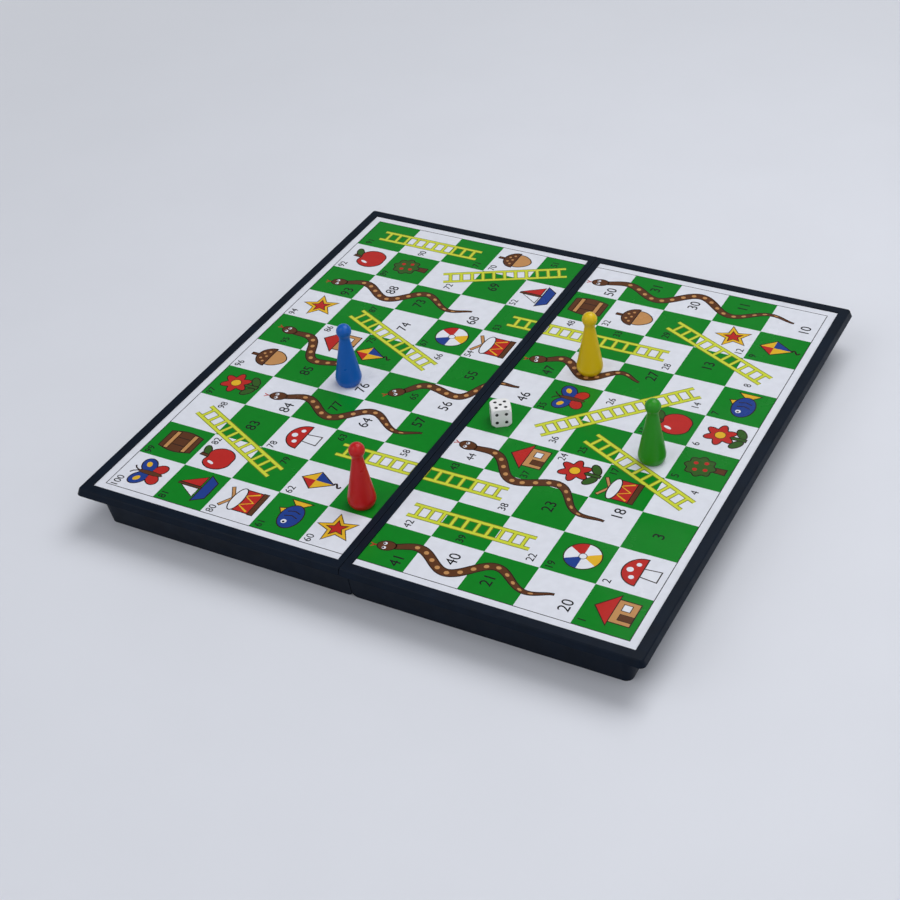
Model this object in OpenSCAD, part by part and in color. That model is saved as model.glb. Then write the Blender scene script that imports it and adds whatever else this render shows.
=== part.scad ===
// Folding magnetic snakes and ladders board, lying open on a table, with four pawns and a die.
// Frame: millimetres, +Z up, origin on the table under the middle of the board.
// The fold runs along X at y = 0. The near half, with the first squares, is on the -Y side.

/* [Board] */
// Length of the open board along the fold
board_x = 250; // [220:1:320]
// Width of the open board across the fold
board_y = 250; // [220:1:320]
// Height of the board from the table to the top of its rim
board_h = 20; // [15.4:0.1:26]
// Gap between the two halves at the fold, open and closed
fold_gap = 0.3; // [0.2:0.05:0.6]

/* [Flange] */
// Thickness of the flange round the top
flange_t = 2.9; // [2.4:0.1:3.6]
// Lean of the flange's edge, from its foot in to its top
flange_lean = 1; // [0.5:0.1:1.6]
// Corner radius at the foot of the flange
flange_corner_r = 2.5; // [2:0.1:8]
// Bevel along the flange's top edge
flange_bevel = 0.4; // [0.2:0.1:0.8]

/* [Walls] */
// Thickness of the three leaning walls
wall_t = 2; // [1.4:0.1:2.6]
// Distance of a wall in from the flange's edge, where it meets the flange
wall_inset_top = 5.2; // [5:0.1:8]
// Distance of a wall in from the flange's edge, at the table
wall_inset_foot = 8.3; // [8:0.1:12]
// Corner radius of the walls at the table
wall_corner_r = 3; // [2.8:0.1:10]
// Width of the stiffening ribs under the deck
rib_w = 1.4; // [1:0.1:2.5]
// Depth of the stiffening ribs under the deck
rib_h = 1.5; // [0.8:0.1:3]
// Ribs across each half
ribs_across = 3; // [1:1:6]

/* [Play surface] */
// Width of the rim round the outside of the printed sheets
rim_w = 4.5; // [3.5:0.1:8]
// Width of each half's rim along the fold
spine_rim_w = 2.85; // [2.2:0.05:6]
// Height of the rims above the printed sheets
rim_rise = 0.5; // [0.2:0.1:0.8]
// Thickness of the steel sheets
steel_t = 0.3; // [0.2:0.05:0.6]
// Thickness of the printed sheets
film_t = 0.2; // [0.1:0.05:0.4]
// Gap between a sheet and its rim
sheet_fit = 0.15; // [0.1:0.05:0.3]
// White margin between the rim and the squares
print_margin = 4; // [2:0.5:10]

/* [Hinge] */
// Thickness of the upright wall along the fold, which is also the radius of its round foot
nose_r = 2.2; // [2:0.1:3]
// Distance from the end wall's inner face to the middle of a hinge link
hinge_inset = 20; // [16:0.5:40]
// Width of a hinge link along the fold
link_w = 10; // [6:0.5:14]
// Radius of a hinge link's round ends
link_r = 1.95; // [1.6:0.05:2.1]
// Gap round a hinge link
link_gap = 0.3; // [0.2:0.05:0.6]
// Width of the two lugs beside each link
lug_w = 7; // [4:0.5:10]
// Wall of a hinge block behind and above its link
block_t = 1.5; // [1:0.1:3]
// Diameter of the hinge pins
hinge_pin_d = 1.5; // [1.2:0.1:1.8]
// Distance of a hinge pin's ends in from the ends of its block
hinge_pin_setback = 0.5; // [0.2:0.1:1.5]

/* [Clasp] */
// Width of the clasp
clasp_w = 22; // [14:1:40]
// Thickness of the clasp's plate
clasp_t = 1.8; // [1.4:0.1:2.2]
// Height of the clasp's pivot above the table
pivot_z = 2.6; // [2.2:0.1:3.3]
// Distance of the clasp's pivot out from the wall
pivot_out = 3.4; // [3.2:0.1:3.8]
// Radius of the clasp's knuckle
knuckle_r = 2; // [1.6:0.1:2.2]
// Diameter of the clasp's pin
clasp_pin_d = 1.6; // [1.2:0.1:2]
// Thickness of the two ears that hold the clasp's pin
ear_t = 3; // [2:0.5:5]
// Gap between the clasp and its ears, and round the keeper
clasp_gap = 0.35; // [0.25:0.05:0.5]
// Reach of the clasp's hooked lip
lip_reach = 1.4; // [1.2:0.1:1.6]
// Thickness of the clasp's hooked lip
lip_t = 1.4; // [1:0.1:1.8]
// Gap between the finger tab's tip and the flange above it
tab_gap = 1; // [0.5:0.1:2]
// Flare of the finger tab
tab_flare = 1; // [0.5:0.1:1.4]
// Width of the keeper that the clasp hooks over
keeper_w = 14; // [8:1:30]
// Height of the keeper's foot above the table
keeper_foot = 0.8; // [0.4:0.1:1.4]
// Height of the keeper, from its foot to its top
keeper_h = 2.4; // [1.6:0.1:2.8]

/* [Pawns] */
// Height of a pawn
pawn_h = 30; // [24:0.5:36]
// Greatest diameter of a pawn's foot
pawn_foot_d = 11.6; // [11.4:0.1:14]
// Radius of the bulge round a pawn's foot
pawn_bulge_r = 5; // [4.6:0.1:5.4]
// Height of the bulge's middle above a pawn's sole
pawn_bulge_z = 3.2; // [2:0.1:3.4]
// Diameter of a pawn's neck
pawn_neck_d = 4.6; // [3.6:0.1:5.6]
// Radius of the fillet at a pawn's neck
pawn_neck_r = 4; // [2:0.5:6]
// Diameter of a pawn's ball head
pawn_head_d = 6.6; // [6:0.1:8]
// Diameter of the magnet in a pawn's foot
magnet_d = 7.6; // [6:0.1:8]
// Thickness of the magnet
magnet_t = 2.4; // [1.5:0.1:3.5]
// Gap round the magnet
magnet_fit = 0.05; // [0.02:0.01:0.1]
// Depth of the magnet's face inside the foot
magnet_setback = 0.15; // [0.1:0.05:0.4]
// Diameter of the hollow core above the magnet
core_d = 5.6; // [4:0.1:6.4]
// Square of the blue pawn, as column and row
blue_square = [5, 8]; // [1:1:10]
// Shift of the blue pawn from the middle of its square
blue_shift = [-2.3, 1.2]; // [-6:0.1:6]
// Square of the red pawn, as column and row
red_square = [2, 6]; // [1:1:10]
// Shift of the red pawn from the middle of its square
red_shift = [-4.6, 0]; // [-6:0.1:6]
// Square of the yellow pawn, as column and row
yellow_square = [7, 4]; // [1:1:10]
// Shift of the yellow pawn from the middle of its square
yellow_shift = [0, 0]; // [-6:0.1:6]
// Square of the green pawn, as column and row
green_square = [5, 2]; // [1:1:10]
// Shift of the green pawn from the middle of its square
green_shift = [-2.3, -2.3]; // [-6:0.1:6]

/* [Die] */
// Edge of the die
die_edge = 8.5; // [7:0.5:12]
// Depth to which a ball rounds off the die's corners
die_corner_cut = 0.9; // [0.4:0.1:1.2]
// Diameter of a pip
pip_d = 1.5; // [1:0.1:1.8]
// Depth of a pip
pip_depth = 0.25; // [0.15:0.05:0.5]
// Distance of a pip from the middle of its face
pip_step = 2; // [1.6:0.1:2.2]
// Square of the die, as column and row
die_square = [5, 5]; // [1:1:10]
// Shift of the die from the middle of its square
die_shift = [-2.3, -3.5]; // [-6:0.1:6]
// Turn of the die on the board, in degrees
die_turn = 33; // [-45:1:45]

/* [Hidden] */
$fn = 64;
cut = 0.5;
squares = 10;
running_fit = 0.05;
tight_fit = 0.01;

// Heights
flange_z = board_h - flange_t;
pocket_d = steel_t + film_t + rim_rise;
pocket_z = board_h - pocket_d;
steel_z = pocket_z;
film_z = steel_z + steel_t;
play_z = film_z + film_t;

// The wall's reach from the middle of the board at the table, and its lean up to the flange
wall_x = board_x / 2 - wall_inset_foot;
wall_y = board_y / 2 - wall_inset_foot;
wall_lean = wall_inset_foot - wall_inset_top;
wall_slope = wall_lean / flange_z;
wall_angle = atan(wall_slope);

// The pocket's reach from the middle of the board
pocket_x = board_x / 2 - flange_lean - rim_w;
pocket_y = board_y / 2 - flange_lean - rim_w;
pocket_fold = fold_gap / 2 + spine_rim_w;
pitch_x = 2 * (pocket_x - print_margin) / squares;
pitch_y = 2 * (pocket_y - print_margin) / squares;

// The fold's two axes, at y = -axis_y and y = axis_y
axis_y = nose_r + fold_gap / 2;
axis_z = nose_r;
notch_reach = link_r + link_gap;
notch_w = link_w + 2 * link_gap;
block_w = notch_w + 2 * lug_w;
block_y = axis_y + notch_reach + block_t;
block_z = axis_z + notch_reach + block_t;
link_x = wall_x - wall_t - hinge_inset;
hinge_pin_l = block_w - 2 * hinge_pin_setback;

// The clasp hangs on the far wall and points up, along the wall, while the board is open
pivot_y = wall_y + wall_slope * pivot_z + pivot_out;
ears_in = clasp_w / 2 + clasp_gap;
clasp_pin_l = 2 * (ears_in + ear_t);
keeper_top = keeper_foot + keeper_h;
keeper_y = pivot_y - clasp_t / 2 - clasp_gap;
lip_from = pivot_z + fold_gap + keeper_top + clasp_gap;
lip_top = lip_from + lip_t;
tab_side = clasp_t / 2 + tab_flare;
tab_top = (flange_z - tab_gap - pivot_z - tab_side * sin(wall_angle)) / cos(wall_angle);

// The pawn's outline: the neck's hollow circle touches the head, and a side line touches it and the bulge
head_r = pawn_head_d / 2;
head_z = pawn_h - head_r;
neck_x = pawn_neck_d / 2 + pawn_neck_r;
neck_at = [neck_x, head_z - sqrt(pow(head_r + pawn_neck_r, 2) - pow(neck_x, 2))];
bulge_at = [pawn_foot_d / 2 - pawn_bulge_r, pawn_bulge_z];
bulge_to_neck = neck_at - bulge_at;
neck_bearing = atan2(bulge_to_neck[1], bulge_to_neck[0]);
side_tilt = neck_bearing - acos((pawn_bulge_r + pawn_neck_r) / norm(bulge_to_neck));
side_n = [cos(side_tilt), sin(side_tilt)];
bore_top = magnet_setback + magnet_t;
core_top = neck_at[1] - pawn_neck_r;
core_tip_r = pawn_neck_d / 4;

case_tint = "#141a22";
steel_tint = "#b9bdc1";
film_tint = "#eef0ea";
magnet_tint = "#2b2b2d";
blue_tint = "#0b4b98";
red_tint = "#a81f1f";
yellow_tint = "#d3ad0c";
green_tint = "#2f7d22";
die_tint = "#f4f3ee";

// Extrudes an outline drawn in Y and Z along X, centred
module along_x(length) {
    rotate([90, 0, 90])
        linear_extrude(length, center = true)
            children();
}

// Copies what is made for the near half to the far half
module far_side() {
    mirror([0, 1, 0])
        children();
}

// A block of the near half: upright along the fold, leaning on its other three sides.
// Its corners are centred at core_x and core_y, with radius r0 at z0 and r1 at z1.
module leaning_block(core_x, core_y, fold_y, r0, r1, z0, z1) {
    along_x(2 * core_x)
        polygon([[-fold_y, z0], [-fold_y, z1], [-core_y - r1, z1], [-core_y - r0, z0]]);
    translate([0, -fold_y, 0])
        rotate([90, 0, 0])
            linear_extrude(core_y - fold_y)
                polygon([[-core_x - r0, z0], [core_x + r0, z0], [core_x + r1, z1], [-core_x - r1, z1]]);
    for (side = [-1, 1])
        translate([side * core_x, -core_y, 0])
            rotate_extrude()
                polygon([[0, z0], [r0, z0], [r1, z1], [0, z1]]);
}

// The flange and deck in one plate, with a bevelled top edge
module flange() {
    bevel_z = board_h - flange_bevel;
    core_x = board_x / 2 - flange_corner_r;
    core_y = board_y / 2 - flange_corner_r;
    bevel_r = flange_corner_r - flange_lean;
    leaning_block(core_x, core_y, fold_gap / 2, flange_corner_r, bevel_r, flange_z, bevel_z);
    leaning_block(core_x, core_y, fold_gap / 2, bevel_r, bevel_r - flange_bevel, bevel_z, board_h);
}

module walls() {
    core_x = wall_x - wall_corner_r;
    core_y = wall_y - wall_corner_r;
    foot_r = wall_corner_r - wall_t - wall_slope * cut;
    top_r = wall_corner_r - wall_t + wall_slope * (flange_z + cut);
    difference() {
        leaning_block(core_x, core_y, fold_gap / 2, wall_corner_r, wall_corner_r + wall_lean, 0, flange_z);
        leaning_block(core_x, core_y, fold_gap / 2 + nose_r, foot_r, top_r, -cut, flange_z + cut);
    }
}

// Rounds the foot of the spine wall about the fold's axis, so that the two halves can turn past each other
module nose_cut() {
    along_x(board_x)
        difference() {
            translate([-axis_y, -cut])
                square([axis_y, axis_z + cut]);
            translate([-axis_y, axis_z])
                circle(nose_r);
        }
}

module ribs() {
    rib_l = wall_y - fold_gap / 2 - wall_t;
    for (i = [1 : ribs_across])
        translate([2 * wall_x * (i / (ribs_across + 1) - 0.5) - rib_w / 2, -fold_gap / 2 - nose_r / 2 - rib_l,
            flange_z - rib_h])
            cube([rib_w, rib_l, rib_h + cut]);
    translate([wall_t / 2 - wall_x, -wall_y / 2 - rib_w / 2, flange_z - rib_h])
        cube([2 * wall_x - wall_t, rib_w, rib_h + cut]);
}

// A solid block inside the spine wall that carries one link's pin
module hinge_block() {
    translate([-block_w / 2, -block_y, 0])
        cube([block_w, block_y - fold_gap / 2, block_z]);
}

module link_notch() {
    translate([-notch_w / 2, -axis_y - notch_reach, -cut])
        cube([notch_w, axis_y + notch_reach, axis_z + notch_reach + cut]);
}

module hinge_pin(d, l) {
    translate([0, -axis_y, axis_z])
        rotate([0, 90, 0])
            cylinder(d = d, h = l, center = true);
}

module at_links() {
    for (side = [-1, 1])
        translate([side * link_x, 0, 0])
            children();
}

module sheet_pocket() {
    translate([-pocket_x, -pocket_y, pocket_z])
        cube([2 * pocket_x, pocket_y - pocket_fold, pocket_d + cut]);
}

module case_half() {
    difference() {
        union() {
            flange();
            walls();
            ribs();
            at_links()
                hinge_block();
        }
        sheet_pocket();
        nose_cut();
        at_links()
            link_notch();
        at_links()
            hinge_pin(hinge_pin_d + 2 * tight_fit, block_w + 2 * cut);
    }
}

// The two ears that hold the clasp's pin, drawn on the near side and mirrored to the far wall
module clasp_ears() {
    ear_root = pivot_out + wall_t / 2;
    for (side = [-1, 1])
        translate([side * (ears_in + ear_t / 2), -pivot_y, pivot_z])
            along_x(ear_t)
                difference() {
                    union() {
                        circle(knuckle_r);
                        translate([0, -knuckle_r])
                            square([ear_root, 2 * knuckle_r]);
                    }
                    circle(d = clasp_pin_d + 2 * tight_fit);
                }
}

// The wedge on the near wall that the clasp hooks over
module keeper() {
    root_y = wall_y - wall_t / 2;
    along_x(keeper_w)
        polygon([
            [-root_y, keeper_foot], [-keeper_y, keeper_foot + keeper_h / 2],
            [-keeper_y, keeper_top], [-root_y, keeper_top],
        ]);
}

module near_case() {
    color(case_tint)
        union() {
            case_half();
            keeper();
        }
}

module far_case() {
    color(case_tint)
        far_side()
            union() {
                case_half();
                clasp_ears();
            }
}

module sheet(z, t) {
    reach_x = pocket_x - sheet_fit;
    reach_y = pocket_y - sheet_fit;
    translate([-reach_x, -reach_y, z])
        cube([2 * reach_x, reach_y - pocket_fold - sheet_fit, t]);
}

module near_steel_sheet() {
    color(steel_tint)
        sheet(steel_z, steel_t);
}

module far_steel_sheet() {
    color(steel_tint)
        far_side()
            sheet(steel_z, steel_t);
}

module near_play_sheet() {
    color(film_tint)
        sheet(film_z, film_t);
}

module far_play_sheet() {
    color(film_tint)
        far_side()
            sheet(film_z, film_t);
}

// A hinge link turns on one pin of each half
module hinge_link() {
    along_x(link_w)
        difference() {
            union() {
                translate([-axis_y, axis_z - link_r])
                    square([2 * axis_y, 2 * link_r]);
                for (side = [-1, 1])
                    translate([side * axis_y, axis_z])
                        circle(link_r);
            }
            for (side = [-1, 1])
                translate([side * axis_y, axis_z])
                    circle(d = hinge_pin_d + 2 * running_fit);
        }
}

module left_hinge_link() {
    color(case_tint)
        translate([-link_x, 0, 0])
            hinge_link();
}

module right_hinge_link() {
    color(case_tint)
        translate([link_x, 0, 0])
            hinge_link();
}

module near_hinge_pins() {
    color(steel_tint)
        at_links()
            hinge_pin(hinge_pin_d, hinge_pin_l);
}

module far_hinge_pins() {
    color(steel_tint)
        far_side()
            at_links()
                hinge_pin(hinge_pin_d, hinge_pin_l);
}

// The clasp's side view, pointing up from its pivot, with the lip on the -Y side
module clasp_profile() {
    difference() {
        union() {
            circle(knuckle_r);
            translate([-clasp_t / 2, 0])
                square([clasp_t, lip_top]);
            translate([-clasp_t / 2 - lip_reach, lip_from])
                square([lip_reach + clasp_t, lip_t]);
            polygon([
                [-clasp_t / 2, lip_top], [clasp_t / 2, lip_top],
                [tab_side, tab_top], [tab_side - clasp_t, tab_top],
            ]);
        }
        circle(d = clasp_pin_d + 2 * running_fit);
    }
}

module clasp() {
    color(case_tint)
        far_side()
            translate([0, -pivot_y, pivot_z])
                rotate([wall_angle, 0, 0])
                    along_x(clasp_w)
                        clasp_profile();
}

module clasp_pin() {
    color(steel_tint)
        far_side()
            translate([0, -pivot_y, pivot_z])
                rotate([0, 90, 0])
                    cylinder(d = clasp_pin_d, h = clasp_pin_l, center = true);
}

// A place on the print: a square's column and row, and the shift from its middle
function square_at(square, shift) = [
    (square[0] - (squares + 1) / 2) * pitch_x + shift[0],
    (square[1] - (squares + 1) / 2) * pitch_y + shift[1],
    play_z,
];

module pawn_outline() {
    head_at = [0, head_z];
    head_touch = head_at + head_r * (neck_at - head_at) / (head_r + pawn_neck_r);
    difference() {
        polygon([
            [0, 0], [bulge_at[0], 0], bulge_at, bulge_at + pawn_bulge_r * side_n,
            neck_at - pawn_neck_r * side_n, neck_at, head_touch, head_at,
        ]);
        translate(neck_at)
            circle(pawn_neck_r);
    }
    intersection() {
        translate(bulge_at)
            circle(pawn_bulge_r);
        square(pawn_foot_d);
    }
    intersection() {
        translate(head_at)
            circle(head_r);
        translate([0, head_touch[1]])
            square(pawn_h);
    }
}

module pawn_core() {
    bore_r = magnet_d / 2 + magnet_fit;
    polygon([
        [0, -cut], [bore_r, -cut], [bore_r, bore_top], [core_d / 2, bore_top],
        [core_tip_r, core_top], [0, core_top],
    ]);
}

module pawn(square, shift, tint) {
    color(tint)
        translate(square_at(square, shift))
            rotate_extrude()
                difference() {
                    pawn_outline();
                    pawn_core();
                }
}

module pawn_magnet(square, shift) {
    color(magnet_tint)
        translate(square_at(square, shift) + [0, 0, magnet_setback])
            cylinder(d = magnet_d, h = magnet_t);
}

module blue_pawn() {
    pawn(blue_square, blue_shift, blue_tint);
}

module red_pawn() {
    pawn(red_square, red_shift, red_tint);
}

module yellow_pawn() {
    pawn(yellow_square, yellow_shift, yellow_tint);
}

module green_pawn() {
    pawn(green_square, green_shift, green_tint);
}

module blue_pawn_magnet() {
    pawn_magnet(blue_square, blue_shift);
}

module red_pawn_magnet() {
    pawn_magnet(red_square, red_shift);
}

module yellow_pawn_magnet() {
    pawn_magnet(yellow_square, yellow_shift);
}

module green_pawn_magnet() {
    pawn_magnet(green_square, green_shift);
}

// The dimples of one face, on top of a die centred at the origin
module pips(count) {
    ball_r = (pow(pip_d / 2, 2) + pow(pip_depth, 2)) / (2 * pip_depth);
    corners = [[-1, -1], [1, 1], [-1, 1], [1, -1], [-1, 0], [1, 0]];
    odd = count % 2;
    places = concat(odd == 1 ? [[0, 0]] : [], count > 1 ? [for (i = [0 : count - odd - 1]) corners[i]] : []);
    for (place = places)
        translate([place[0] * pip_step, place[1] * pip_step, die_edge / 2 - pip_depth + ball_r])
            sphere(ball_r);
}

module die() {
    color(die_tint)
        translate(square_at(die_square, die_shift) + [0, 0, die_edge / 2])
            rotate([0, 0, die_turn])
                difference() {
                    intersection() {
                        cube(die_edge, center = true);
                        sphere(die_edge * sqrt(3) / 2 - die_corner_cut);
                    }
                    pips(5);
                    rotate([180, 0, 0])
                        pips(2);
                    rotate([0, -90, 0])
                        pips(4);
                    rotate([0, 90, 0])
                        pips(3);
                    rotate([90, 0, 0])
                        pips(1);
                    rotate([-90, 0, 0])
                        pips(6);
                }
}

near_case();
far_case();
near_steel_sheet();
far_steel_sheet();
near_play_sheet();
far_play_sheet();
left_hinge_link();
right_hinge_link();
near_hinge_pins();
far_hinge_pins();
clasp();
clasp_pin();
blue_pawn();
red_pawn();
yellow_pawn();
green_pawn();
blue_pawn_magnet();
red_pawn_magnet();
yellow_pawn_magnet();
green_pawn_magnet();
die();
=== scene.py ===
"""Looks of a folding snakes and ladders board: its print, plastics, die pips, light and camera."""
import math

import bmesh
import bpy
import numpy as np
from mathutils import Matrix, Quaternion, Vector


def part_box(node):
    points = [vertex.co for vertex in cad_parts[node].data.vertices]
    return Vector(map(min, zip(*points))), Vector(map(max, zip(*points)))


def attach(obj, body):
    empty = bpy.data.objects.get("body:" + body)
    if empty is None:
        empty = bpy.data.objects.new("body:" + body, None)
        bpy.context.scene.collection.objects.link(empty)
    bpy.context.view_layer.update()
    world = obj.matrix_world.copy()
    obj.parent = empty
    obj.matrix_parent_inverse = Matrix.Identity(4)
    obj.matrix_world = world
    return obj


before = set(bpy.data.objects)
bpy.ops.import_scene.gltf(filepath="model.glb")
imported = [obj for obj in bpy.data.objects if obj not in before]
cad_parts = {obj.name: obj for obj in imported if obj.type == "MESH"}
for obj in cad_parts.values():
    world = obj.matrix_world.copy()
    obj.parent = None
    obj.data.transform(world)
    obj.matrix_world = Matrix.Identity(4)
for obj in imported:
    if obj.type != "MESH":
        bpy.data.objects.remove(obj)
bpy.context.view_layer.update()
MM = 0.001

# The print, in millimetres. Rows run along X and stack towards +Y; square 1 is at the -X, -Y corner.
SQUARES = 10
MARGIN = 3.85
PINSTRIPE = 0.35
near_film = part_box("near_play_sheet")
SHEET_TOP = near_film[1].z / MM
HALF_GRID = near_film[1].x / MM - MARGIN
FOLD_EDGE = -near_film[1].y / MM
PITCH = 2 * HALF_GRID / SQUARES
HALF_SQUARE = Vector((PITCH / 2, PITCH / 2))

# Thickness of a layer of ink, how far ink and paint reach into what carries them, and each shape's layer
LAYER = 0.004
SINK = 0.01
SQUARE_LAYER = 1
LINE_LAYER = 2
LADDER_LAYER = 3
SNAKE_LAYER = 3
MOTIF_LAYER = 3
NUMBER_LAYER = 14

# Inks, as linear colours
INKS = {
    "green": (0.001, 0.2, 0.012),
    "black": (0.01, 0.01, 0.012),
    "outline": (0.022, 0.011, 0.008),
    "brown": (0.1, 0.034, 0.012),
    "tan": (0.5, 0.25, 0.09),
    "ladder": (0.58, 0.63, 0.045),
    "olive": (0.17, 0.19, 0.015),
    "red": (0.46, 0.02, 0.016),
    "blue": (0.012, 0.045, 0.25),
    "yellow": (0.72, 0.42, 0.02),
    "white": (0.72, 0.74, 0.8),
    "leaf": (0.03, 0.1, 0.014),
}
FILM_WHITE = (0.7, 0.72, 0.79)

# Ladders from their foot to their top, and snakes from head to tail with the waves in their bodies
LADDERS = [
    (4, 25), (8, 29), (22, 42), (28, 53), (38, 63), (51, 72), (66, 87), (79, 98), (71, 91), (14, 36),
]
SNAKES = [
    (95, 76, 1.5), (93, 68, 2), (84, 57, 2), (65, 46, 1.5),
    (50, 10, 2.5), (44, 18, 2), (47, 27, 1.5), (41, 20, 2),
]

# Shapes of each ink so far, as meshes in the making
ink_shapes = {}


def square_place(number):
    """Middle of a numbered square. The rows run to and fro."""
    row, step = divmod(number - 1, SQUARES)
    column = step if row % 2 == 0 else SQUARES - 1 - step
    return Vector(((column + 0.5) * PITCH - HALF_GRID, (row + 0.5) * PITCH - HALF_GRID))


def square_bounds(number):
    """Two corners of the part of a square that the fold leaves on the sheets."""
    middle = square_place(number)
    low, high = middle - HALF_SQUARE, middle + HALF_SQUARE
    if middle.y < 0:
        high.y = min(high.y, -FOLD_EDGE)
    else:
        low.y = max(low.y, FOLD_EDGE)
    return low, high


def ink_mesh(ink):
    """The mesh in the making that holds all shapes of one ink."""
    if ink not in ink_shapes:
        ink_shapes[ink] = bmesh.new()
    return ink_shapes[ink]


def stamp(ink, outline, layer):
    """Adds a thin closed prism of one ink, on an outline that runs anticlockwise."""
    mesh = ink_mesh(ink)
    low = (SHEET_TOP - SINK) * MM
    high = (SHEET_TOP + layer * LAYER) * MM
    foot = [mesh.verts.new((x * MM, y * MM, low)) for x, y in outline]
    top = [mesh.verts.new((x * MM, y * MM, high)) for x, y in outline]
    mesh.faces.new(top)
    mesh.faces.new(reversed(foot))
    for i in range(len(foot)):
        j = (i + 1) % len(foot)
        mesh.faces.new((foot[i], foot[j], top[j], top[i]))


# Outlines, as lists of points that run anticlockwise
MITRE_LIMIT = 0.45


def rectangle(x0, y0, x1, y1):
    """Outline of an upright rectangle between two corners."""
    return [Vector(p) for p in ((x0, y0), (x1, y0), (x1, y1), (x0, y1))]


def ellipse(x, y, rx, ry, turn=0, steps=28):
    """Outline of an ellipse, turned by an angle in degrees."""
    spin = Matrix.Rotation(math.radians(turn), 2)
    angles = [2 * math.pi * i / steps for i in range(steps)]
    return [Vector((x, y)) + spin @ Vector((rx * math.cos(a), ry * math.sin(a))) for a in angles]


def circle(x, y, radius, steps=28):
    """Outline of a circle."""
    return ellipse(x, y, radius, radius, steps=steps)


def dome(x, y, rx, ry, steps=24):
    """Outline of the upper half of an ellipse."""
    angles = [math.pi * i / steps for i in range(steps + 1)]
    return [Vector((x + rx * math.cos(a), y + ry * math.sin(a))) for a in angles]


def polar(x, y, radius, steps=72):
    """Outline whose radius is a function of the angle."""
    angles = [2 * math.pi * i / steps for i in range(steps)]
    return [Vector((x + radius(a) * math.cos(a), y + radius(a) * math.sin(a))) for a in angles]


def grown(outline, distance):
    """An outline moved outwards at every corner, less far at the sharpest ones."""
    result = []
    for i, here in enumerate(outline):
        before = (here - outline[i - 1]).normalized()
        after = (outline[(i + 1) % len(outline)] - here).normalized()
        normals = [Vector((d.y, -d.x)) for d in (before, after)]
        middle = (normals[0] + normals[1]).normalized()
        result.append(here + middle * distance / max(middle.dot(normals[0]), MITRE_LIMIT))
    return result


def band(path, half_widths):
    """Outline of a strip along a path."""
    left, right = [], []
    for i, here in enumerate(path):
        along = (path[min(i + 1, len(path) - 1)] - path[max(i - 1, 0)]).normalized()
        side = Vector((-along.y, along.x)) * half_widths[i]
        left.append(here + side)
        right.append(here - side)
    return right + left[::-1]


def line(points, half_width):
    """Outline of a strip of even width through points."""
    return band([Vector(p) for p in points], [half_width] * len(points))


def print_squares():
    """The coloured squares, which have the odd numbers, and a thin line round the grid."""
    for number in range(1, SQUARES * SQUARES + 1, 2):
        middle = square_place(number)
        stamp("green", rectangle(*(middle - HALF_SQUARE), *(middle + HALF_SQUARE)), SQUARE_LAYER)
    outer = HALF_GRID + PINSTRIPE
    bars = [
        (-outer, -outer, outer, -HALF_GRID), (-outer, HALF_GRID, outer, outer),
        (-outer, -HALF_GRID, -HALF_GRID, HALF_GRID), (HALF_GRID, -HALF_GRID, outer, HALF_GRID),
    ]
    for bar in bars:
        stamp("black", rectangle(*bar), LINE_LAYER)


# Ladders
LADDER_W = 8.4
RAIL_W = 1.4
RUNG_W = 1.2
RUNG_STEP = 5.2
LADDER_EDGE = 0.35
LADDER_OVERHANG = 3.5


def print_ladder(foot, top):
    """Two rails and the rungs between them, all with a darker edge."""
    start, end = square_place(foot), square_place(top)
    along = (end - start).normalized()
    side = Vector((-along.y, along.x))
    length = (end - start).length
    bars = []
    for sign in (-1, 1):
        rail = side * sign * (LADDER_W - RAIL_W) / 2
        bars.append((start + rail - along * LADDER_OVERHANG, end + rail + along * LADDER_OVERHANG, RAIL_W))
    rungs = round(length / RUNG_STEP)
    for i in range(rungs + 1):
        middle = start + along * length * i / rungs
        reach = side * (LADDER_W / 2 - RAIL_W)
        bars.append((middle - reach, middle + reach, RUNG_W))
    for a, b, width in bars:
        stamp("olive", line([a, b], width / 2 + LADDER_EDGE), LADDER_LAYER)
        stamp("ladder", line([a, b], width / 2), LADDER_LAYER + 1)


# Bodies of the snakes. The neck's end and the tail's start are shares of the body's length.
SNAKE_W = 3.6
SNAKE_EDGE = 0.5
SNAKE_STEPS = 90
SNAKE_SWING = 5.5
SWING_EASE = 0.6
NECK_W_SHARE = 0.62
NECK_END = 0.18
TAIL_START = 0.5
TAIL_TAPER = 0.9
TAIL_POWER = 1.5
SADDLE_STEP = 4.4
SADDLE_R = 1.1
SADDLE_W_SHARE = 0.55
PLAIN_STEPS = 8

# Heads of the snakes. The head and the tongue lie ahead of the body's first point.
LOOK_STEPS = 3
HEAD_AHEAD = 1.6
HEAD_RX = 3.6
HEAD_RY = 2.5
EYE_R = 0.85
EYE_AHEAD = 0.8
EYE_ASIDE = 1.25
PUPIL_R = 0.45
PUPIL_AHEAD = 0.3
TONGUE_AHEAD = 6.5
TONGUE_L = 2.2
TONGUE_W = 0.7
FORK_L = 1.5
FORK_W = 0.5
FORK_SPREAD = 1
FORK_OVERLAP = 0.2


def snake_width(t):
    """Half of the body's width at a share of its length."""
    neck = NECK_W_SHARE + (1 - NECK_W_SHARE) * min(t / NECK_END, 1)
    tail = 1 - TAIL_TAPER * max((t - TAIL_START) / (1 - TAIL_START), 0) ** TAIL_POWER
    return SNAKE_W / 2 * neck * tail


def snake_path(head, tail, waves):
    """Points along a body that swings from side to side, less near its ends."""
    start, end = square_place(head), square_place(tail)
    side = Vector((start.y - end.y, end.x - start.x)).normalized()
    path = []
    for i in range(SNAKE_STEPS + 1):
        t = i / SNAKE_STEPS
        swing = SNAKE_SWING * math.sin(2 * math.pi * waves * t) * math.sin(math.pi * t) ** SWING_EASE
        path.append(start + (end - start) * t + side * swing)
    return path


def snake_look(path):
    """The direction in which a snake looks, from the first steps of its body."""
    return (path[0] - path[LOOK_STEPS]).normalized()


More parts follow.
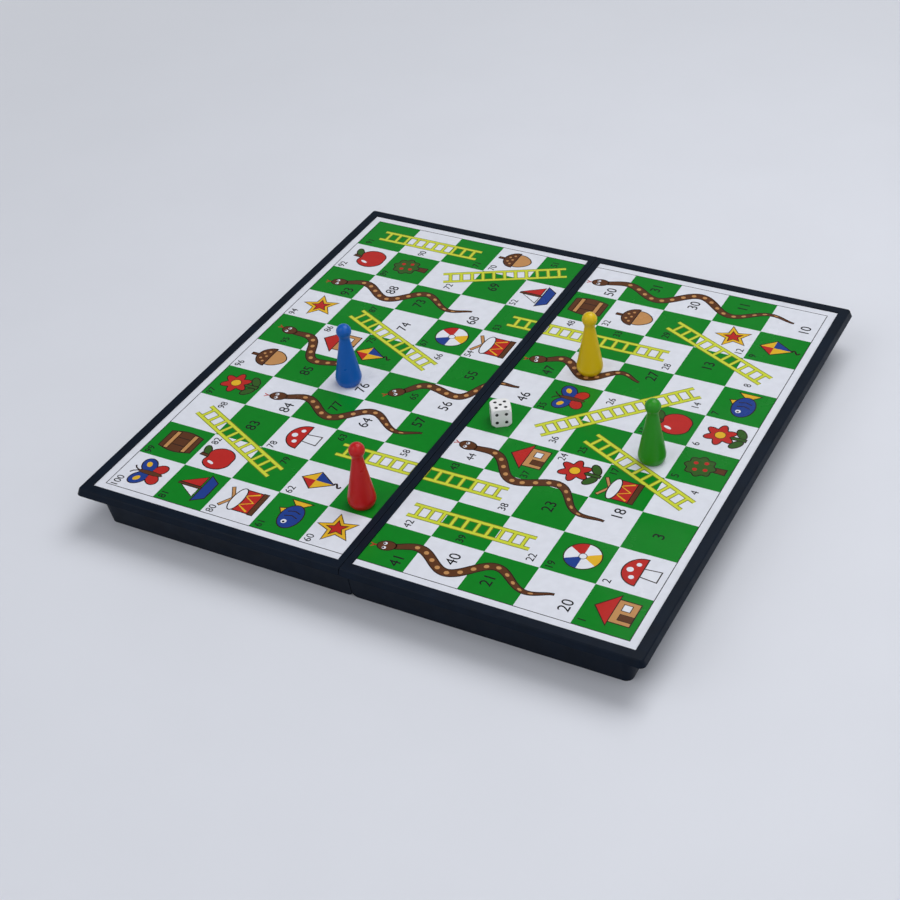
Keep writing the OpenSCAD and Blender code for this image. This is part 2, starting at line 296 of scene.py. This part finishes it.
def bearing(way):
    """Angle of a direction, in degrees from +X."""
    return math.degrees(math.atan2(way.y, way.x))


def print_snake(head, tail, waves):
    """A wavy body with saddles along its back, and its head."""
    path = snake_path(head, tail, waves)
    widths = [snake_width(i / SNAKE_STEPS) for i in range(SNAKE_STEPS + 1)]
    stamp("outline", band(path, [w + SNAKE_EDGE for w in widths]), SNAKE_LAYER)
    stamp("brown", band(path, widths), SNAKE_LAYER + 1)
    travelled = 0
    for i in range(PLAIN_STEPS, SNAKE_STEPS - PLAIN_STEPS):
        travelled += (path[i] - path[i - 1]).length
        if travelled >= SADDLE_STEP:
            travelled = 0
            turn = bearing(path[i + 1] - path[i - 1])
            saddle = ellipse(*path[i], SADDLE_R, widths[i] * SADDLE_W_SHARE, turn, steps=12)
            stamp("tan", saddle, SNAKE_LAYER + 2)
    print_snake_head(path[0], snake_look(path))


def print_snake_head(neck, ahead):
    """A head with two eyes and a forked tongue."""
    across = Vector((-ahead.y, ahead.x))
    turn = bearing(ahead)
    face = neck + ahead * HEAD_AHEAD
    fork = neck + ahead * TONGUE_AHEAD
    stamp("red", line([fork - ahead * TONGUE_L, fork], TONGUE_W / 2), SNAKE_LAYER)
    for sign in (-1, 1):
        tip = fork + ahead * FORK_L + across * sign * FORK_SPREAD
        stamp("red", line([fork - ahead * FORK_OVERLAP, tip], FORK_W / 2), SNAKE_LAYER)
    stamp("outline", ellipse(*face, HEAD_RX + SNAKE_EDGE, HEAD_RY + SNAKE_EDGE, turn), SNAKE_LAYER + 1)
    stamp("brown", ellipse(*face, HEAD_RX, HEAD_RY, turn), SNAKE_LAYER + 2)
    for sign in (-1, 1):
        eye = face + ahead * EYE_AHEAD + across * sign * EYE_ASIDE
        stamp("white", circle(*eye, EYE_R, steps=16), SNAKE_LAYER + 3)
        stamp("black", circle(*(eye + ahead * PUPIL_AHEAD), PUPIL_R, steps=12), SNAKE_LAYER + 4)


# Motifs, drawn in millimetres about their own middles. A shape's level counts layers from the lowest one.
MOTIF_EDGE = 0.5


def motif_pen(middle, scale):
    """A function that draws a motif's shapes, each on a dark one that is larger by its edge."""
    def draw(ink, outline, level, edge=MOTIF_EDGE):
        placed = [middle + scale * Vector(p) for p in outline]
        if edge:
            stamp("outline", grown(placed, edge), MOTIF_LAYER + level)
        stamp(ink, placed, MOTIF_LAYER + level + 1)
    return draw


def flower(draw):
    for x, turn in ((-3.4, -35), (3.4, 35)):
        draw("leaf", ellipse(x, -5.4, 3, 1.5, turn), 0)
    draw("leaf", rectangle(-0.6, -8, 0.6, -1), 1)
    draw("red", polar(0, 2, lambda a: 4.9 + 1.3 * math.cos(6 * a)), 3)
    draw("yellow", circle(0, 2, 2), 5, edge=0.3)


def apple(draw):
    def radius(a):
        top = math.exp(-((a - math.pi / 2) / 0.4) ** 2)
        foot = math.exp(-((a - 3 * math.pi / 2) / 0.35) ** 2)
        return 6.4 - 1.6 * top - 0.6 * foot

    draw("leaf", ellipse(3.2, 6, 3, 1.4, 25), 0)
    draw("brown", [(-0.5, 2.6), (0.5, 2.6), (1.1, 7.2), (0.1, 7.4)], 2)
    draw("red", polar(0, -1.2, radius), 4)
    draw("white", ellipse(-3.1, 0.8, 0.7, 1.7, -20, steps=16), 5, edge=0)


def star(draw):
    for ink, outer, level in (("yellow", 7.6, 0), ("red", 3.8, 2)):
        points = []
        for i in range(10):
            a = math.pi / 2 + i * math.pi / 5
            r = outer * (0.43 if i % 2 else 1)
            points.append((r * math.cos(a), r * math.sin(a)))
        draw(ink, points, level, edge=0.4)


def mushroom(draw):
    draw("white", [(-2.6, -7), (2.6, -7), (1.9, 0), (-1.9, 0)], 0)
    draw("red", dome(0, -0.6, 7, 6.6), 2)
    for x, y, radius in ((-3.4, 1.8, 1), (0.2, 3.6, 1.25), (3.6, 1.6, 0.95)):
        draw("white", circle(x, y, radius, steps=18), 3, edge=0)


def boat(draw):
    draw("brown", rectangle(-0.4, -3, 0.4, 7.4), 0, edge=0.3)
    draw("red", [(0.9, -1.6), (6.4, -1.6), (0.9, 6.8)], 2, edge=0.4)
    draw("white", [(-0.9, 5.4), (-5.4, -1.6), (-0.9, -1.6)], 2, edge=0.4)
    draw("blue", [(-4.6, -6.8), (4.6, -6.8), (7.4, -2.8), (-7.4, -2.8)], 4)


def kite(draw):
    top, left, foot, right = corners = [(0, 8), (-4.9, 2.6), (0, -4.8), (4.9, 2.6)]
    middle = (0, 2.6)
    tail = [(1.1 * math.sin(i * 0.9), foot[1] - 0.5 * i) for i in range(8)]
    draw("outline", line(tail, 0.4), 0, edge=0)
    draw("yellow", corners, 1)
    draw("red", [middle, top, left], 2, edge=0)
    draw("blue", [middle, foot, right], 2, edge=0)


def house(draw):
    draw("tan", rectangle(-5.6, -7, 5.6, 1), 0)
    draw("red", [(-7.4, 0.8), (7.4, 0.8), (0, 7.2)], 2)
    draw("brown", rectangle(-3.8, -7, -1, -2.2), 2, edge=0.3)
    draw("white", rectangle(1, -4.6, 3.9, -1.8), 2, edge=0.35)


def butterfly(draw):
    for sign in (-1, 1):
        draw("blue", ellipse(3.9 * sign, 2.4, 4, 2.9, 32 * sign), 0)
        draw("red", ellipse(3 * sign, -3.2, 3, 2.3, -40 * sign), 0)
        draw("yellow", ellipse(4.4 * sign, 2.8, 1.6, 1.1, 32 * sign, steps=18), 2, edge=0)
        draw("outline", line([(0, 4.4), (0.9 * sign, 6.4), (2.2 * sign, 7.4)], 0.3), 2, edge=0)
    draw("brown", ellipse(0, -0.4, 0.95, 5.2), 3, edge=0.3)


def fruit_tree(draw):
    draw("brown", [(-1.5, -7.6), (1.5, -7.6), (1, -1), (-1, -1)], 0)
    draw("leaf", polar(0, 2, lambda a: 5.3 + 0.55 * math.cos(8 * a)), 2)
    for x, y in ((-2.2, 3.4), (1.6, 4.2), (2.6, 0.4), (-1.4, -0.4)):
        draw("red", circle(x, y, 0.9, steps=16), 3, edge=0)


def ball(draw):
    radius = 6.6
    draw("white", circle(0, 0, radius, steps=48), 0)
    for start, ink in ((0, "red"), (120, "blue"), (240, "yellow")):
        angles = [math.radians(start + 60 * i / 8) for i in range(9)]
        draw(ink, [(0, 0)] + [(radius * math.cos(a), radius * math.sin(a)) for a in angles], 1, edge=0)
    draw("white", circle(0, 0, 1.3, steps=20), 3, edge=0.3)


def acorn(draw):
    draw("brown", rectangle(-0.6, 4, 0.6, 7.4), 0, edge=0.4)
    draw("tan", polar(0, -2.2, lambda a: 5 + 0.9 * max(-math.sin(a), 0) ** 6), 2)
    draw("brown", dome(0, -0.8, 6, 5.4), 4)
    for x, y in ((-3.4, 0.8), (0, 0.8), (3.4, 0.8), (-1.7, 2.6), (1.7, 2.6)):
        draw("tan", circle(x, y, 0.6, steps=12), 5, edge=0)


def drum(draw):
    for sign in (-1, 1):
        draw("tan", line([(-2 * sign, 3), (5.4 * sign, 7.4)], 0.5), 0, edge=0.35)
    draw("red", rectangle(-5.8, -6.2, 5.8, 2.2), 2)
    cord = [(-5.2, -4.4), (-2.6, 0.4), (0, -4.4), (2.6, 0.4), (5.2, -4.4)]
    draw("yellow", line(cord, 0.4), 3, edge=0)
    draw("brown", rectangle(-6.2, -7.4, 6.2, -5.6), 4, edge=0.4)
    draw("white", ellipse(0, 2.4, 6.2, 2), 4)


def barrel(draw):
    side = [(4.6 + 1.5 * math.cos(math.pi * i / 16), 7 * i / 8) for i in range(-8, 9)]
    draw("brown", side + [(-x, y) for x, y in side[::-1]], 0)
    for y in (4, -4):
        draw("tan", rectangle(-5.2, y - 0.8, 5.2, y + 0.8), 1, edge=0.35)
    for x in (-2.2, 2.2):
        draw("outline", rectangle(x - 0.2, -2.6, x + 0.2, 2.6), 1, edge=0)


def fish(draw):
    draw("yellow", [(4, 0), (7.8, -4), (7.8, 4)], 0)
    draw("yellow", [(-2.4, 3), (2.8, 3), (2, 6.2)], 0)
    draw("blue", ellipse(-1, 0, 6.4, 4.3), 2)
    draw("white", circle(-4.2, 1.1, 1.1, steps=18), 3, edge=0)
    draw("black", circle(-4.4, 1.1, 0.5, steps=12), 4, edge=0)
    for x in (-1.2, 1.4):
        draw("outline", line([(x, 2.6), (x + 0.9, 0), (x, -2.6)], 0.25), 3, edge=0)


# The squares of each motif, the most room that one takes, its reach as drawn and its shift in the square
MOTIFS = [
    (flower, (6, 97, 24)), (apple, (15, 92, 82)), (star, (60, 94, 12)), (mushroom, (2, 78)),
    (boat, (81, 52)), (kite, (9, 62, 75)), (house, (1, 86, 37)), (butterfly, (35, 100)),
    (fruit_tree, (5, 89)), (ball, (19, 67)), (acorn, (32, 96, 70)), (drum, (54, 80, 17)),
    (barrel, (49, 99)), (fish, (61, 7)),
]
MOTIF_ROOM = 9.2
MOTIF_REACH = 8.4
MOTIF_SHIFT = Vector((1.3, -1.3))

# Places along a ladder, room for a snake's head and tongue, and places tried along a square's side
LADDER_SPOTS = 60
HEAD_ROOM = 4.8
TONGUE_ROOM = 1.8
SPOT_STEPS = 25


def obstacles():
    """Places that ladders and snakes cover, as rows of x, y and radius."""
    rows = []
    for foot, top in LADDERS:
        start, end = square_place(foot), square_place(top)
        reach = LADDER_OVERHANG / (end - start).length
        shares = np.linspace(-reach, 1 + reach, LADDER_SPOTS)
        rows += [(*start.lerp(end, t), LADDER_W / 2 + LADDER_EDGE) for t in shares]
    for snake in SNAKES:
        path = snake_path(*snake)
        ahead = snake_look(path)
        rows += [(*p, SNAKE_W / 2 + SNAKE_EDGE) for p in path]
        rows.append((*(path[0] + ahead * HEAD_AHEAD), HEAD_ROOM))
        rows.append((*(path[0] + ahead * TONGUE_AHEAD), TONGUE_ROOM))
    return np.array(rows)


def roomy_spot(number, taken, wanted, preferred):
    """A place in a square, and the room round it.

    It is the nearest to the preferred place that has the wanted room, or else the roomiest.
    """
    low, high = [np.array(corner) for corner in square_bounds(number)]
    shares = (np.arange(SPOT_STEPS) + 0.5) / SPOT_STEPS
    spots = low + np.stack(np.meshgrid(shares, shares), 2).reshape(-1, 2) * (high - low)
    to_edge = np.minimum(spots - low, high - spots).min(1)
    to_taken = np.linalg.norm(spots[:, None] - taken[:, :2], axis=2) - taken[:, 2]
    room = np.minimum(np.minimum(to_edge, to_taken.min(1)), wanted)
    away = np.linalg.norm(spots - np.array(preferred), axis=1)
    best = np.lexsort((away, -room))[0]
    return Vector(spots[best]), float(room[best])


def print_motifs(taken):
    """Draws the motifs and returns the places that they cover, by square."""
    covered = {}
    for motif, squares in MOTIFS:
        for number in squares:
            spot, room = roomy_spot(number, taken, MOTIF_ROOM, square_place(number) + MOTIF_SHIFT)
            scale = room / MOTIF_REACH
            motif(motif_pen(spot, scale))
            covered[number] = (*spot, MOTIF_REACH * scale)
    return covered


# Numbers: sizes of the digits with the room that they want, large in the open and small in a busy square
DIGIT_SIZES = [(6.8, 5), (4.7, 3.3)]
DIGIT_RESOLUTION = 6

# Tolerances for welding digits and cutting ink at the fold, in metres
WELD = 1e-7
CUT = 1e-8


def number_mesh(number):
    """A number's digits about the origin, at a font size of 1 and 1 thick."""
    text = bpy.data.curves.new("number", "FONT")
    text.body = str(number)
    text.align_x = "CENTER"
    text.align_y = "CENTER"
    text.extrude = 0.5
    text.resolution_u = DIGIT_RESOLUTION
    holder = bpy.data.objects.new("number", text)
    bpy.context.collection.objects.link(holder)
    digits = bpy.data.meshes.new_from_object(holder.evaluated_get(bpy.context.evaluated_depsgraph_get()))
    bpy.data.objects.remove(holder)
    return digits


def number_place(number, taken, covered):
    """Place and size of a number, towards the square's corner if a motif stands in it."""
    preferred = square_place(number)
    if number in covered:
        taken = np.vstack([taken, covered[number]])
        preferred = preferred + Vector((-PITCH, PITCH)) / 2
    for size, wanted in DIGIT_SIZES:
        place, room = roomy_spot(number, taken, wanted, preferred)
        if room >= wanted:
            break
    return place, size


def print_numbers(taken, covered):
    """The numbers of all squares, each welded by itself so that no shape beside it joins it."""
    mesh = ink_mesh("black")
    low = (SHEET_TOP - SINK) * MM
    height = (NUMBER_LAYER * LAYER + SINK) * MM
    for number in range(1, SQUARES * SQUARES + 1):
        digits = number_mesh(number)
        place, size = number_place(number, taken, covered)
        digits.transform(Matrix.Translation((place.x * MM, place.y * MM, low + height / 2))
                         @ Matrix.Diagonal((size * MM, size * MM, height, 1)))
        welded = bmesh.new()
        welded.from_mesh(digits)
        bmesh.ops.remove_doubles(welded, verts=welded.verts[:], dist=WELD)
        welded.to_mesh(digits)
        welded.free()
        mesh.from_mesh(digits)
        bpy.data.meshes.remove(digits)


def half_of(mesh, sign):
    """The part of a mesh that lies on one half's sheet, cut off and closed at the fold."""
    half = mesh.copy()
    everything = half.verts[:] + half.edges[:] + half.faces[:]
    cut = bmesh.ops.bisect_plane(half, geom=everything, dist=CUT, plane_co=(0, sign * FOLD_EDGE * MM, 0),
                                 plane_no=(0, -sign, 0), clear_outer=True)
    cut_edges = [part for part in cut["geom_cut"] if isinstance(part, bmesh.types.BMEdge)]
    bmesh.ops.holes_fill(half, edges=cut_edges, sides=0)
    bmesh.ops.recalc_face_normals(half, faces=half.faces[:])
    return half


def add_piece(name, mesh, material, body):
    """Makes an object of a mesh in the making, and lets it ride on a body."""
    data = bpy.data.meshes.new(name)
    mesh.to_mesh(data)
    mesh.free()
    data.materials.append(material)
    piece = bpy.data.objects.new(name, data)
    bpy.context.collection.objects.link(piece)
    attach(piece, body)
    return piece


# Materials: linear colours, the gloss of the film, the plastics' soft edges and the metals' streaks
CASE_COLOUR = (0.0016, 0.0062, 0.0155)
PAWN_COLOURS = {
    "blue": (0.002, 0.1, 0.44), "red": (0.48, 0.008, 0.009),
    "yellow": (0.68, 0.46, 0.003), "green": (0.018, 0.26, 0.01),
}
DIE_COLOUR = (0.8, 0.8, 0.8)
PIP_COLOUR = (0.012, 0.012, 0.014)
MAGNET_COLOUR = (0.03, 0.03, 0.032)
SHEET_STEEL_COLOUR = (0.55, 0.56, 0.58)
PIN_STEEL_COLOUR = (0.6, 0.6, 0.61)
FILM_SPECULAR = 0.28
EDGE_R = 0.35
STREAK_STRETCH = 50
POLISHED = {"grain_depth_mm": 0.004, "cloud": 0.03, "spread": 0.03}


def node_material(name):
    """A new material with its node tree, its shader and the object's own coordinates."""
    material = bpy.data.materials.new(name)
    material.use_nodes = True
    tree = material.node_tree
    place = tree.nodes.new("ShaderNodeTexCoord")
    return material, tree, tree.nodes["Principled BSDF"], place.outputs["Object"]


def noise(tree, place, size_mm, detail=2):
    """A noise pattern whose features have about the given size."""
    node = tree.nodes.new("ShaderNodeTexNoise")
    node.inputs["Scale"].default_value = 1 / (size_mm * MM)
    node.inputs["Detail"].default_value = detail
    tree.links.new(place, node.inputs["Vector"])
    return node.outputs["Fac"]


def ranged(tree, value, low=0, high=1, start=0.3, end=0.7):
    """A value that goes from low to high as another goes from start to end, by default a noise."""
    node = tree.nodes.new("ShaderNodeMapRange")
    node.inputs["From Min"].default_value = start
    node.inputs["From Max"].default_value = end
    node.inputs["To Min"].default_value = low
    node.inputs["To Max"].default_value = high
    tree.links.new(value, node.inputs["Value"])
    return node.outputs["Result"]


def shaded(colour, factor):
    """A colour made lighter or darker."""
    return tuple(min(c * factor, 1) for c in colour)


def add_tint(tree, shader, pattern, colour, darkest, lightest):
    """Lets a surface's colour vary with a pattern, between two factors."""
    node = tree.nodes.new("ShaderNodeMix")
    node.data_type = "RGBA"
    tree.links.new(ranged(tree, pattern), node.inputs["Factor"])
    node.inputs["A"].default_value = (*shaded(colour, darkest), 1)
    node.inputs["B"].default_value = (*shaded(colour, lightest), 1)
    tree.links.new(node.outputs["Result"], shader.inputs["Base Color"])


def add_roughness(tree, shader, pattern, low, high):
    """Lets a surface's roughness vary with a pattern, between two values."""
    tree.links.new(ranged(tree, pattern, low, high), shader.inputs["Roughness"])


def add_bump(tree, shader, pattern, strength, depth_mm):
    """Lets a surface rise and fall with a pattern, and returns the node."""
    node = tree.nodes.new("ShaderNodeBump")
    node.inputs["Strength"].default_value = strength
    node.inputs["Distance"].default_value = depth_mm * MM
    tree.links.new(pattern, node.inputs["Height"])
    tree.links.new(node.outputs["Normal"], shader.inputs["Normal"])
    return node


def laminate(name, colour):
    """Ink under a glossy film: a little uneven in density, with faint smudges and waviness."""
    material, tree, shader, place = node_material(name)
    add_tint(tree, shader, noise(tree, place, size_mm=4, detail=4), colour, darkest=0.96, lightest=1.03)
    add_roughness(tree, shader, noise(tree, place, size_mm=30, detail=5), low=0.18, high=0.3)
    add_bump(tree, shader, noise(tree, place, size_mm=25), strength=0.1, depth_mm=0.05)
    shader.inputs["Specular IOR Level"].default_value = FILM_SPECULAR
    return material


def moulded(name, colour, roughness, grain_mm, grain_depth_mm, cloud=0.25, specular=0.5, spread=0.07):
    """Moulded plastic with a fine grain, soft edges and a little unevenness of colour and gloss."""
    material, tree, shader, place = node_material(name)
    add_tint(tree, shader, noise(tree, place, size_mm=9, detail=4), colour, 1 - cloud, 1 + cloud)
    patches = noise(tree, place, size_mm=6, detail=5)
    add_roughness(tree, shader, patches, roughness - spread, roughness + spread)
    grain = add_bump(tree, shader, noise(tree, place, grain_mm), strength=0.5, depth_mm=grain_depth_mm)
    edges = tree.nodes.new("ShaderNodeBevel")
    edges.inputs["Radius"].default_value = EDGE_R * MM
    tree.links.new(edges.outputs["Normal"], grain.inputs["Normal"])
    shader.inputs["Specular IOR Level"].default_value = specular
    return material


def metal(name, colour, roughness, streak_mm):
    """Bare metal with fine streaks along X."""
    material, tree, shader, place = node_material(name)
    stretch = tree.nodes.new("ShaderNodeMapping")
    stretch.inputs["Scale"].default_value = (1 / STREAK_STRETCH, 1, 1)
    tree.links.new(place, stretch.inputs["Vector"])
    streaks = noise(tree, stretch.outputs["Vector"], streak_mm, detail=3)
    add_tint(tree, shader, streaks, colour, darkest=0.85, lightest=1.1)
    add_roughness(tree, shader, streaks, roughness - 0.08, roughness + 0.1)
    add_bump(tree, shader, streaks, strength=0.2, depth_mm=0.01)
    shader.inputs["Metallic"].default_value = 1
    return material


def dress(node, material):
    """Gives a CAD node its material."""
    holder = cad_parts[node]
    if not holder.material_slots:
        holder.data.materials.append(material)
    for slot in holder.material_slots:
        slot.material = material


# Pips of the die: each face has a count, and turns about X, Y and Z that bring the top there
DIE_TURN = 33
PIP_FACES = [
    (5, (0, 0, 0)), (2, (180, 0, 0)), (4, (0, -90, 0)),
    (3, (0, 90, 0)), (1, (90, 0, 0)), (6, (-90, 0, 0)),
]
PIP_PLACES = [(-1, -1), (1, 1), (-1, 1), (1, -1), (-1, 0), (1, 0)]
PIP_STEP = 2
PIP_R = 0.75
PIP_DEPTH = 0.25
PIP_COVER = 0.97
PIP_PAINT = 0.06
PIP_SKIN = 0.004
PIP_RINGS = 5
PIP_SIDES = 24


def add_pip(mesh, place):
    """Paint that lines one dimple, thickest in the middle."""
    ball_r = (PIP_R ** 2 + PIP_DEPTH ** 2) / (2 * PIP_DEPTH)
    profile = []
    for i in range(PIP_RINGS + 1):
        r = PIP_R * PIP_COVER * i / PIP_RINGS
        profile.append((r, ball_r - math.sqrt(ball_r ** 2 - r ** 2) - PIP_DEPTH))
    skin = [(r, z + PIP_PAINT * (1 - (r / PIP_R) ** 2) + PIP_SKIN) for r, z in profile]
    loop = [(r, z - SINK) for r, z in profile[1:]] + skin[:0:-1]
    rings = []
    for r, z in loop:
        ring = []
        for k in range(PIP_SIDES):
            a = 2 * math.pi * k / PIP_SIDES
            ring.append(mesh.verts.new(place @ Vector((r * math.cos(a), r * math.sin(a), z)) * MM))
        rings.append(ring)
    for lower, upper in zip(rings, rings[1:]):
        for k in range(PIP_SIDES):
            n = (k + 1) % PIP_SIDES
            mesh.faces.new((lower[k], lower[n], upper[n], upper[k]))
    mesh.faces.new(reversed(rings[0]))
    mesh.faces.new(rings[-1])


def make_pips():
    """The paint in all dimples of the die, as one piece."""
    low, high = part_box("die")
    centre = (low + high) / 2 / MM
    edge = (high.z - low.z) / MM
    mesh = bmesh.new()
    for count, turn in PIP_FACES:
        spots = [(0, 0)] * (count % 2) + PIP_PLACES[:count - count % 2]
        face = Matrix.Rotation(math.radians(DIE_TURN), 4, "Z")
        for axis, angle in zip("XYZ", turn):
            face = face @ Matrix.Rotation(math.radians(angle), 4, axis)
        for x, y in spots:
            local = Matrix.Translation((x * PIP_STEP, y * PIP_STEP, edge / 2))
            add_pip(mesh, Matrix.Translation(centre) @ face @ local)
    bmesh.ops.recalc_face_normals(mesh, faces=mesh.faces[:])
    paint = moulded("pip_paint", PIP_COLOUR, roughness=0.4, grain_mm=0.3, grain_depth_mm=0.005)
    piece = add_piece("die_pips", mesh, paint, "die")
    for polygon in piece.data.polygons:
        polygon.use_smooth = True


def print_sheets():
    """The whole print, as one piece for each ink on each half."""
    print_squares()
    for ladder in LADDERS:
        print_ladder(*ladder)
    for snake in SNAKES:
        print_snake(*snake)
    routes = obstacles()
    motif_places = print_motifs(routes)
    print_numbers(routes, motif_places)
    for ink, colour in INKS.items():
        paint = laminate("ink_" + ink, colour)
        for sign, half in ((-1, "near"), (1, "far")):
            shapes = half_of(ink_shapes[ink], sign)
            add_piece(f"{half}_print_{ink}", shapes, paint, half + "_half")
        ink_shapes[ink].free()


def dress_nodes():
    """Gives every CAD node its material."""
    case = moulded("case_plastic", CASE_COLOUR, roughness=0.42, grain_mm=0.22, grain_depth_mm=0.015,
                   cloud=0.2, specular=0.12)
    for node in ("near_case", "far_case", "left_hinge_link", "right_hinge_link", "clasp"):
        dress(node, case)
    film = laminate("film_white", FILM_WHITE)
    steel = metal("sheet_steel", SHEET_STEEL_COLOUR, roughness=0.35, streak_mm=0.3)
    pin = metal("pin_steel", PIN_STEEL_COLOUR, roughness=0.3, streak_mm=0.1)
    for half in ("near", "far"):
        dress(half + "_play_sheet", film)
        dress(half + "_steel_sheet", steel)
        dress(half + "_hinge_pins", pin)
    dress("clasp_pin", pin)
    magnet = moulded("magnet", MAGNET_COLOUR, roughness=0.5, grain_mm=0.12, grain_depth_mm=0.02)
    for name, colour in PAWN_COLOURS.items():
        plastic = moulded(name + "_plastic", colour, roughness=0.3, grain_mm=0.4, specular=0.3, **POLISHED)
        dress(name + "_pawn", plastic)
        dress(name + "_pawn_magnet", magnet)
    dress("die", moulded("die_plastic", DIE_COLOUR, roughness=0.25, grain_mm=0.5, specular=0.4, **POLISHED))


# Camera, at the photograph's viewing angle
CAMERA_AZIMUTH = -60.3
CAMERA_ELEVATION = 37
CAMERA_ROLL = 4
CAMERA_TARGET = Vector((-38.6, -3.5, 18)) * MM
CAMERA_DISTANCE = 0.71
CAMERA_LENS = 68.5
SENSOR_W = 36
CLIP_START = 0.01


def direction(azimuth, elevation):
    """From the object towards a place at an azimuth and elevation; azimuth 0 looks along +Y."""
    a, e = math.radians(azimuth), math.radians(elevation)
    return Vector((math.sin(a) * math.cos(e), -math.cos(a) * math.cos(e), math.sin(e)))


def make_camera():
    """A camera that looks at its target, rolled a little."""
    data = bpy.data.cameras.new("camera")
    data.sensor_width = SENSOR_W
    data.lens = CAMERA_LENS
    data.clip_start = CLIP_START
    camera = bpy.data.objects.new("camera", data)
    bpy.context.collection.objects.link(camera)
    back = direction(CAMERA_AZIMUTH, CAMERA_ELEVATION)
    camera.location = CAMERA_TARGET + back * CAMERA_DISTANCE
    camera.rotation_mode = "QUATERNION"
    roll = Quaternion((0, 0, 1), math.radians(-CAMERA_ROLL))
    camera.rotation_quaternion = (-back).to_track_quat("-Z", "Y") @ roll
    bpy.context.scene.camera = camera


# Lamps: name, azimuth and elevation in degrees, distance and size in metres, and power in watts
LAMPS = [
    ("key_light", 65, 66, 1.1, 0.8, 7.5),
    ("left_light", -125, 42, 1.3, 1.1, 5),
    ("front_light", -30, 42, 1.4, 1.2, 4.5),
]

# World: strengths at the horizon and at the top, which it has from some height up
WORLD_COLOUR = (0.9, 0.93, 1)
WORLD_HORIZON = 0.7
WORLD_TOP = 0.16
WORLD_TOP_START = 0.55

# Floor, in metres: it goes over into the horizon's colour between two distances from the object
FLOOR_COLOUR = (0.7, 0.72, 0.78)
FLOOR_ROUGHNESS = 0.6
FLOOR_R = 6
FLOOR_SIDES = 96
FADE_START = 0.25
FADE_END = 0.9


def make_lights():
    """Square soft lamps that face the object."""
    for name, azimuth, elevation, distance, size, power in LAMPS:
        data = bpy.data.lights.new(name, "AREA")
        data.size = size
        data.energy = power
        lamp = bpy.data.objects.new(name, data)
        bpy.context.collection.objects.link(lamp)
        away = direction(azimuth, elevation)
        lamp.location = away * distance
        lamp.rotation_mode = "QUATERNION"
        lamp.rotation_quaternion = away.to_track_quat("Z", "Y")


def make_world():
    """A pale horizon that gets darker towards the top, so that the sheets don't mirror a bright sky."""
    world = bpy.data.worlds.new("world")
    bpy.context.scene.world = world
    world.use_nodes = True
    tree = world.node_tree
    background = tree.nodes["Background"]
    background.inputs["Color"].default_value = (*WORLD_COLOUR, 1)
    place = tree.nodes.new("ShaderNodeTexCoord")
    split = tree.nodes.new("ShaderNodeSeparateXYZ")
    tree.links.new(place.outputs["Generated"], split.inputs["Vector"])
    strength = ranged(tree, split.outputs["Z"], WORLD_HORIZON, WORLD_TOP, start=0, end=WORLD_TOP_START)
    tree.links.new(strength, background.inputs["Strength"])


def combined(tree, operation, first, second):
    """The outcome of an operation on two values."""
    node = tree.nodes.new("ShaderNodeMath")
    node.operation = operation
    tree.links.new(first, node.inputs[0])
    tree.links.new(second, node.inputs[1])
    return node.outputs["Value"]


def fade_to_horizon(tree, shader, place):
    """Lets a floor go over into the horizon's colour far away, so that no edge shows behind the object."""
    distance = tree.nodes.new("ShaderNodeVectorMath")
    distance.operation = "LENGTH"
    tree.links.new(place, distance.inputs[0])
    far = ranged(tree, distance.outputs["Value"], start=FADE_START, end=FADE_END)
    rays = tree.nodes.new("ShaderNodeLightPath")
    seen = rays.outputs["Is Camera Ray"]
    for kind in ("Is Glossy Ray", "Is Transmission Ray"):
        seen = combined(tree, "MAXIMUM", seen, rays.outputs[kind])
    glow = tree.nodes.new("ShaderNodeEmission")
    glow.inputs["Color"].default_value = (*shaded(WORLD_COLOUR, WORLD_HORIZON), 1)
    blend = tree.nodes.new("ShaderNodeMixShader")
    tree.links.new(combined(tree, "MULTIPLY", far, seen), blend.inputs["Fac"])
    tree.links.new(shader.outputs["BSDF"], blend.inputs[1])
    tree.links.new(glow.outputs["Emission"], blend.inputs[2])
    tree.links.new(blend.outputs["Shader"], tree.nodes["Material Output"].inputs["Surface"])


def make_floor():
    """A wide round floor in a plain pale colour."""
    mesh = bmesh.new()
    bmesh.ops.create_circle(mesh, cap_ends=True, segments=FLOOR_SIDES, radius=FLOOR_R)
    data = bpy.data.meshes.new("floor")
    mesh.to_mesh(data)
    mesh.free()
    floor = bpy.data.objects.new("floor", data)
    bpy.context.collection.objects.link(floor)
    material, tree, shader, place = node_material("floor")
    shade = noise(tree, place, size_mm=60, detail=3)
    add_tint(tree, shader, shade, FLOOR_COLOUR, darkest=0.99, lightest=1.01)
    shader.inputs["Roughness"].default_value = FLOOR_ROUGHNESS
    fade_to_horizon(tree, shader, place)
    data.materials.append(material)


# Everything together
print_sheets()
dress_nodes()
make_pips()
make_camera()
make_lights()
make_world()
make_floor()
bpy.context.scene.view_settings.view_transform = "Standard"
